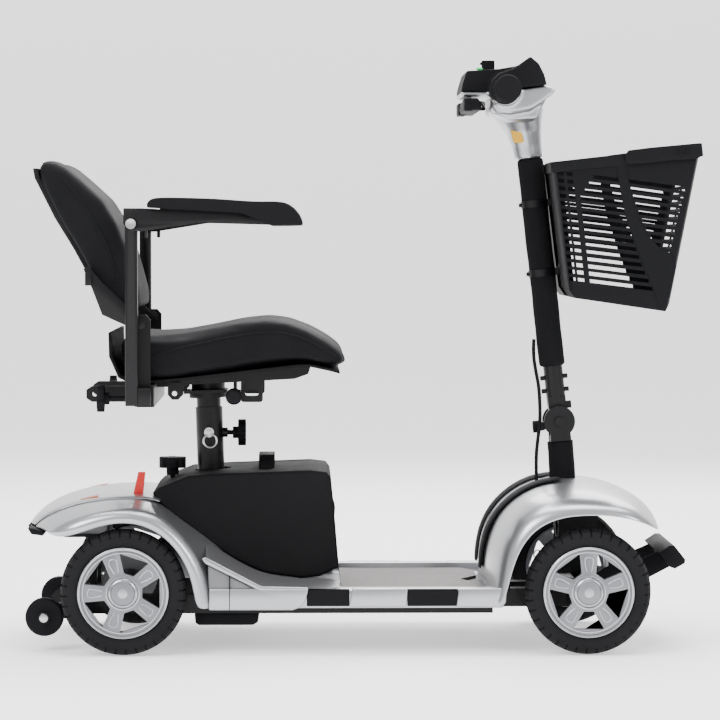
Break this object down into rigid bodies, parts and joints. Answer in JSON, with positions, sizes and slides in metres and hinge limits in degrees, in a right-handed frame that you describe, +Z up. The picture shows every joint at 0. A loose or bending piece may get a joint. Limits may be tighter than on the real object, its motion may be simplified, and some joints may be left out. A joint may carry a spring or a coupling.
{
  "type": "mobility scooter",
  "caption": "Four-wheel electric mobility scooter with swivel seat, flip-up armrests, folding tiller, slotted plastic front basket and anti-tip wheels.",
  "frame": {"origin": "on the ground under the middle of the machine's overall length and width", "axes": "+X forward, +Y to the rider's left, +Z up"},
  "size_m": [1.1139, 0.546, 0.968],
  "materials": {
    "silver_plastic": "satin metallic",
    "black_plastic": "textured",
    "frame_paint": "satin",
    "tyre_rubber": "matt",
    "rim_silver": "satin metallic",
    "steel": "satin",
    "seat_fabric": "woven",
    "soft_pad": "matt",
    "floor_rubber": "patterned",
    "cast_metal": "cast",
    "red_plastic": "smooth",
    "battery_case": "smooth"
  },
  "bodies": {
    "chassis": {"main_frame": "frame_paint", "front_axle_beam": "frame_paint", "floor_pan": "silver_plastic", "deck_mat": "floor_rubber", "front_cowl": "silver_plastic", "cowl_grips": "soft_pad", "front_bumper": "soft_pad", "rear_cowl": "silver_plastic", "battery_box": "black_plastic", "battery_cells": "battery_case", "drive_motor": "cast_metal", "transaxle": "cast_metal", "motor_controller": "cast_metal"},
    "column": {"steering_column": "frame_paint", "column_sleeve": "seat_fabric", "column_cable": "soft_pad"},
    "hinge_knob": {"hinge_lock_knob": "black_plastic"},
    "tiller": {"tiller_tube": "frame_paint", "tiller_sleeve": "seat_fabric", "console_base": "silver_plastic", "console_top": "black_plastic", "hand_grips": "soft_pad", "tiller_cable": "soft_pad"},
    "paddle": {"throttle_paddle": "black_plastic"},
    "dial": {"speed_dial": "black_plastic"},
    "basket": {"basket": "black_plastic"},
    "bail": {"basket_handle": "black_plastic"},
    "seat_lift": {"seat_post": "frame_paint"},
    "seat": {"seat_frame": "frame_paint", "seat_shell": "black_plastic", "seat_cushion": "seat_fabric"},
    "seat_lever": {"swivel_lever": "black_plastic"},
    "back": {"back_frame": "frame_paint", "back_cushion": "seat_fabric"},
    "post_knob": {"seat_clamp_knob": "black_plastic"},
    "post_pin": {"seat_post_pin": "steel"},
    "box_knob": {"frame_lock_knob": "black_plastic"},
    "freewheel": {"freewheel_lever": "red_plastic"},
    "rear_wheel_right": {"rear_rim_right": "rim_silver", "rear_tyre_right": "tyre_rubber"},
    "front_wheel_right": {"front_rim_right": "rim_silver", "front_tyre_right": "tyre_rubber"},
    "knuckle_right": {"steering_knuckle_right": "steel"},
    "rod_right": {"tie_rod_right": "steel"},
    "tip_wheel_right": {"anti_tip_wheel_right": "black_plastic"},
    "arm_slide_right": {"armrest_post_right": "frame_paint"},
    "armrest_right": {"armrest_bracket_right": "frame_paint", "armrest_pad_right": "soft_pad"},
    "arm_knob_right": {"armrest_knob_right": "black_plastic"},
    "rear_wheel_left": {"rear_rim_left": "rim_silver", "rear_tyre_left": "tyre_rubber"},
    "front_wheel_left": {"front_rim_left": "rim_silver", "front_tyre_left": "tyre_rubber"},
    "knuckle_left": {"steering_knuckle_left": "steel"},
    "rod_left": {"tie_rod_left": "steel"},
    "tip_wheel_left": {"anti_tip_wheel_left": "black_plastic"},
    "arm_slide_left": {"armrest_post_left": "frame_paint"},
    "armrest_left": {"armrest_bracket_left": "frame_paint", "armrest_pad_left": "soft_pad"},
    "arm_knob_left": {"armrest_knob_left": "black_plastic"}
  },
  "joints": [
    {"name": "steering", "type": "hinge", "parent": "chassis", "child": "column", "pos_m": [0.33719, 0, 0.20041], "axis": [-0.0785, 0, 0.9969], "range_deg": [-32, 32], "deforming": ["column_cable"]},
    {"name": "tiller_fold", "type": "hinge", "parent": "column", "child": "tiller", "pos_m": [0.32424, 0, 0.3649], "axis": [0, -1, 0], "range_deg": [-8, 35], "deforming": ["tiller_cable"]},
    {"name": "hinge_knob_turn", "type": "hinge", "parent": "column", "child": "hinge_knob", "pos_m": [0.29688, 0, 0.35572], "axis": [-0.9969, 0, -0.0785], "continuous": true},
    {"name": "throttle", "type": "hinge", "parent": "tiller", "child": "paddle", "pos_m": [0.216, 0, 0.864], "axis": [-0.1106, 0, 0.9939], "range_deg": [-5.5, 5.5], "stiffness_Nm_per_rad": 1.5},
    {"name": "speed_setting", "type": "hinge", "parent": "tiller", "child": "dial", "pos_m": [0.205, 0, 0.9503], "axis": [0, 0, 1], "range_deg": [-140, 140]},
    {"name": "basket_lift", "type": "slide", "parent": "tiller", "child": "basket", "axis": [-0.1106, 0, 0.9939], "range_m": [0, 0.045]},
    {"name": "basket_handle", "type": "hinge", "parent": "basket", "child": "bail", "pos_m": [0.42664, 0, 0.8009], "axis": [0, -1, 0], "range_deg": [0, 95]},
    {"name": "seat_height", "type": "slide", "parent": "chassis", "child": "seat_lift", "axis": [-0.0332, 0, 0.9995], "range_m": [0, 0.05]},
    {"name": "seat_swivel", "type": "hinge", "parent": "seat_lift", "child": "seat", "pos_m": [-0.26266, 0, 0.40899], "axis": [-0.0332, 0, 0.9995], "continuous": true},
    {"name": "swivel_release", "type": "hinge", "parent": "seat", "child": "seat_lever", "pos_m": [-0.217, -0.045, 0.414], "axis": [0, 0, -1], "range_deg": [0, 14], "stiffness_Nm_per_rad": 2},
    {"name": "backrest_fold", "type": "hinge", "parent": "seat", "child": "back", "pos_m": [-0.367, 0, 0.534], "axis": [0, 1, 0], "range_deg": [0, 78]},
    {"name": "rear_wheel_spin_right", "type": "hinge", "parent": "chassis", "child": "rear_wheel_right", "pos_m": [-0.394, 0, 0.1015], "axis": [0, 1, 0], "continuous": true},
    {"name": "knuckle_turn_right", "type": "hinge", "parent": "chassis", "child": "knuckle_right", "pos_m": [0.355, -0.184, 0.1015], "axis": [-0.0785, 0, 0.9969], "range_deg": [-32, 32]},
    {"name": "front_wheel_spin_right", "type": "hinge", "parent": "knuckle_right", "child": "front_wheel_right", "pos_m": [0.355, -0.222, 0.1015], "axis": [0, 1, 0], "continuous": true},
    {"name": "tie_rod_turn_right", "type": "hinge", "parent": "column", "child": "rod_right", "pos_m": [0.29895, 0, 0.11264], "axis": [-0.0785, 0, 0.9969], "range_deg": [-32, 32]},
    {"name": "tip_wheel_spin_right", "type": "hinge", "parent": "chassis", "child": "tip_wheel_right", "pos_m": [-0.525, -0.171, 0.056], "axis": [0, 1, 0], "continuous": true},
    {"name": "armrest_width_right", "type": "slide", "parent": "seat", "child": "arm_slide_right", "axis": [0, -1, 0], "range_m": [0, 0.05]},
    {"name": "armrest_flip_right", "type": "hinge", "parent": "arm_slide_right", "child": "armrest_right", "pos_m": [-0.379, -0.248, 0.694], "axis": [0, -1, 0], "range_deg": [0, 95]},
    {"name": "arm_knob_turn_right", "type": "hinge", "parent": "seat", "child": "arm_knob_right", "pos_m": [-0.4, -0.185, 0.412], "axis": [-1, 0, 0], "continuous": true},
    {"name": "rear_wheel_spin_left", "type": "hinge", "parent": "chassis", "child": "rear_wheel_left", "pos_m": [-0.394, 0, 0.1015], "axis": [0, 1, 0], "continuous": true},
    {"name": "knuckle_turn_left", "type": "hinge", "parent": "chassis", "child": "knuckle_left", "pos_m": [0.355, 0.184, 0.1015], "axis": [-0.0785, 0, 0.9969], "range_deg": [-32, 32]},
    {"name": "front_wheel_spin_left", "type": "hinge", "parent": "knuckle_left", "child": "front_wheel_left", "pos_m": [0.355, 0.222, 0.1015], "axis": [0, 1, 0], "continuous": true},
    {"name": "tie_rod_turn_left", "type": "hinge", "parent": "column", "child": "rod_left", "pos_m": [0.29895, 0, 0.11264], "axis": [-0.0785, 0, 0.9969], "range_deg": [-32, 32]},
    {"name": "tip_wheel_spin_left", "type": "hinge", "parent": "chassis", "child": "tip_wheel_left", "pos_m": [-0.525, 0.171, 0.056], "axis": [0, 1, 0], "continuous": true},
    {"name": "armrest_width_left", "type": "slide", "parent": "seat", "child": "arm_slide_left", "axis": [0, 1, 0], "range_m": [0, 0.05]},
    {"name": "armrest_flip_left", "type": "hinge", "parent": "arm_slide_left", "child": "armrest_left", "pos_m": [-0.379, 0.248, 0.694], "axis": [0, -1, 0], "range_deg": [0, 95]},
    {"name": "arm_knob_turn_left", "type": "hinge", "parent": "seat", "child": "arm_knob_left", "pos_m": [-0.4, 0.185, 0.412], "axis": [-1, 0, 0], "continuous": true},
    {"name": "post_knob_turn", "type": "hinge", "parent": "chassis", "child": "post_knob", "pos_m": [-0.22, 0, 0.346], "axis": [1, 0, 0], "continuous": true},
    {"name": "post_pin_pull", "type": "slide", "parent": "chassis", "child": "post_pin", "axis": [0, -1, 0], "range_m": [0, 0.045]},
    {"name": "box_knob_turn", "type": "hinge", "parent": "chassis", "child": "box_knob", "pos_m": [-0.323, 0, 0.28], "axis": [0, 0, 1], "continuous": true},
    {"name": "freewheel", "type": "hinge", "parent": "chassis", "child": "freewheel", "pos_m": [-0.379, -0.12, 0.24], "axis": [0, -1, 0], "range_deg": [0, 25]}
  ],
  "couplings": [
    {"joint": "knuckle_turn_right", "follows": "steering", "ratio": 1},
    {"joint": "tie_rod_turn_right", "follows": "steering", "ratio": -1},
    {"joint": "knuckle_turn_left", "follows": "steering", "ratio": 1},
    {"joint": "tie_rod_turn_left", "follows": "steering", "ratio": -1}
  ]
}
